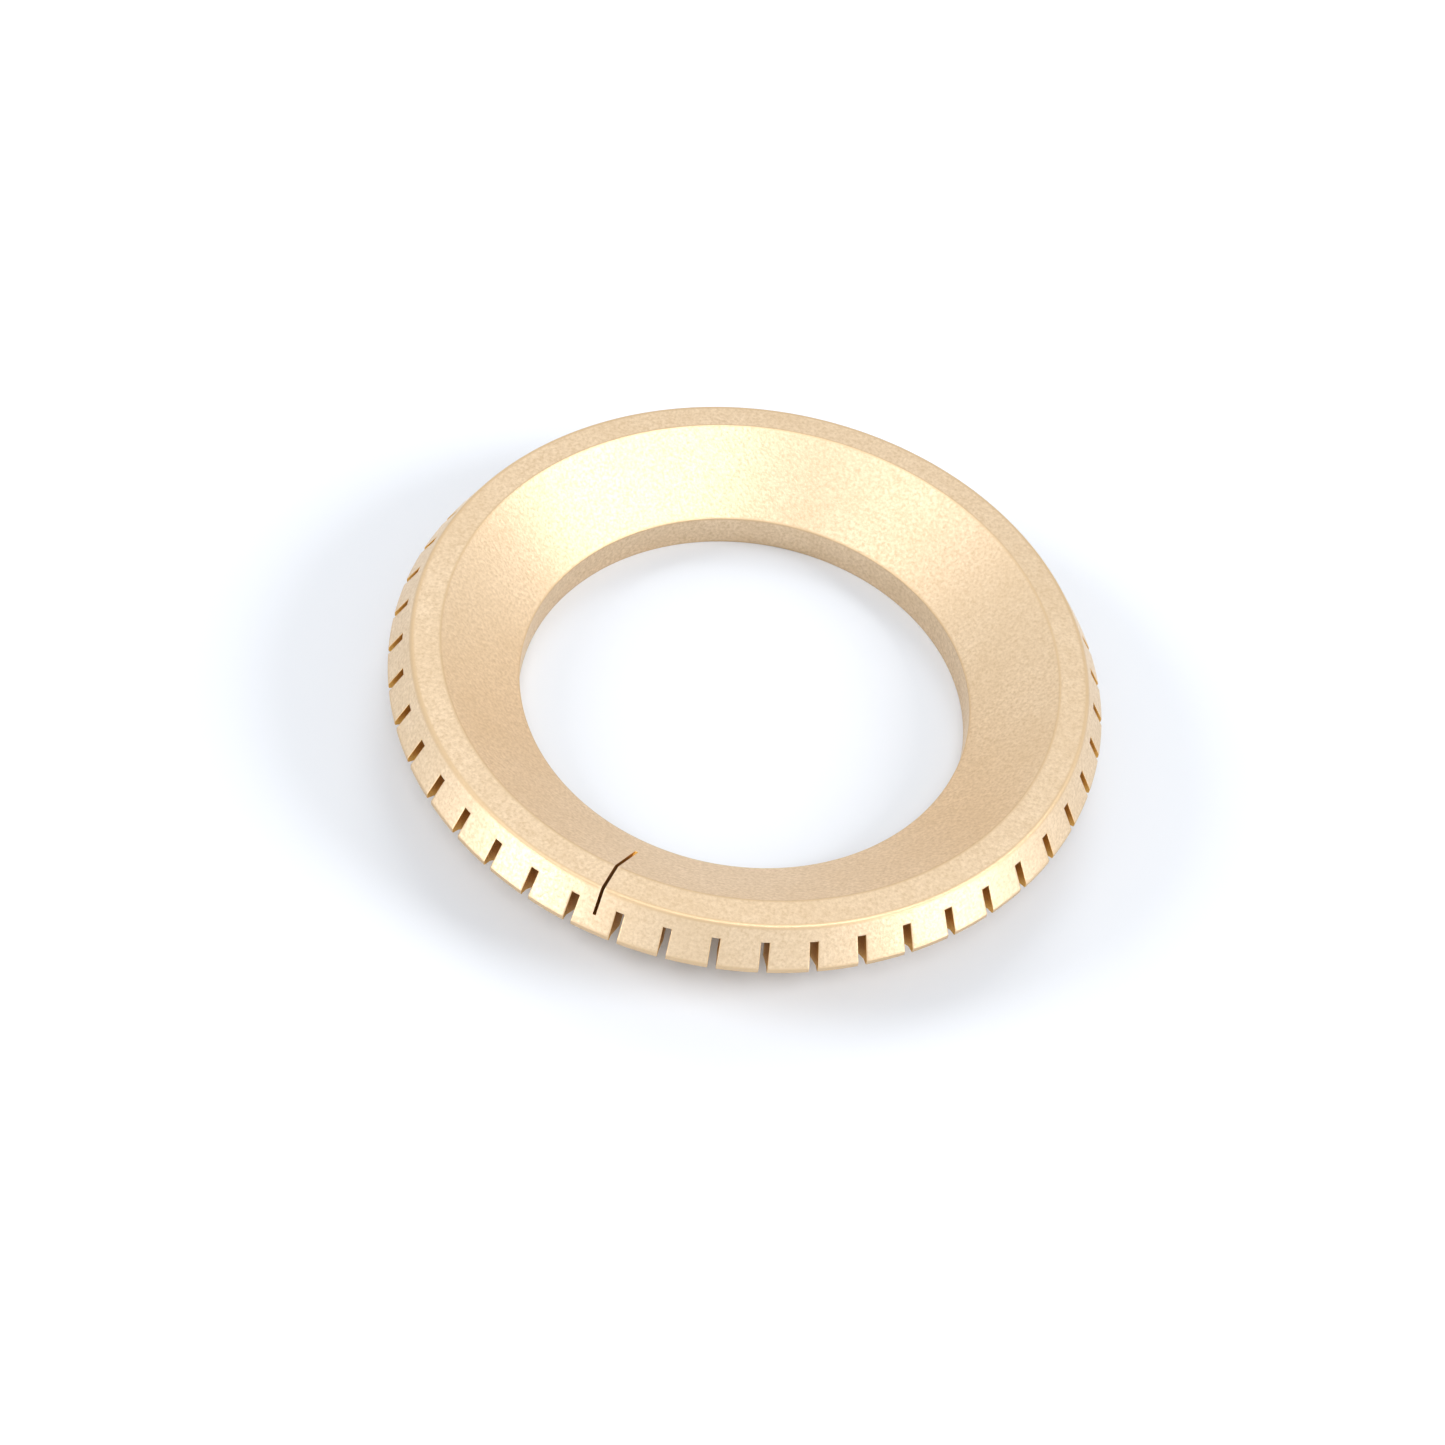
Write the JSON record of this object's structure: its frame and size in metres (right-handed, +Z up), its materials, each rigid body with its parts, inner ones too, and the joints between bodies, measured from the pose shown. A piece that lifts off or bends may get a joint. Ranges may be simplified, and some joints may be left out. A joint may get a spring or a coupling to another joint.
{
  "type": "burner flame ring",
  "caption": "Matte brass flame ring of a gas burner: funnel over a bored spigot, flat rim, and a flared skirt sawn into flame ports, with a thin carry-over slit across rim and skirt.",
  "frame": {"origin": "on the ring's axis, at the foot of the spigot, which is the surface that the ring stands on", "axes": "+Z up along the ring's axis, from the spigot to the rim; -Y towards the carry-over slit; +X to the right of someone facing the slit"},
  "size_m": [0.11, 0.11, 0.0148],
  "materials": {
    "blasted_brass": "bead-blasted, matte, pale gold"
  },
  "bodies": {
    "root": {"flame_ring": "blasted_brass"}
  },
  "joints": []
}
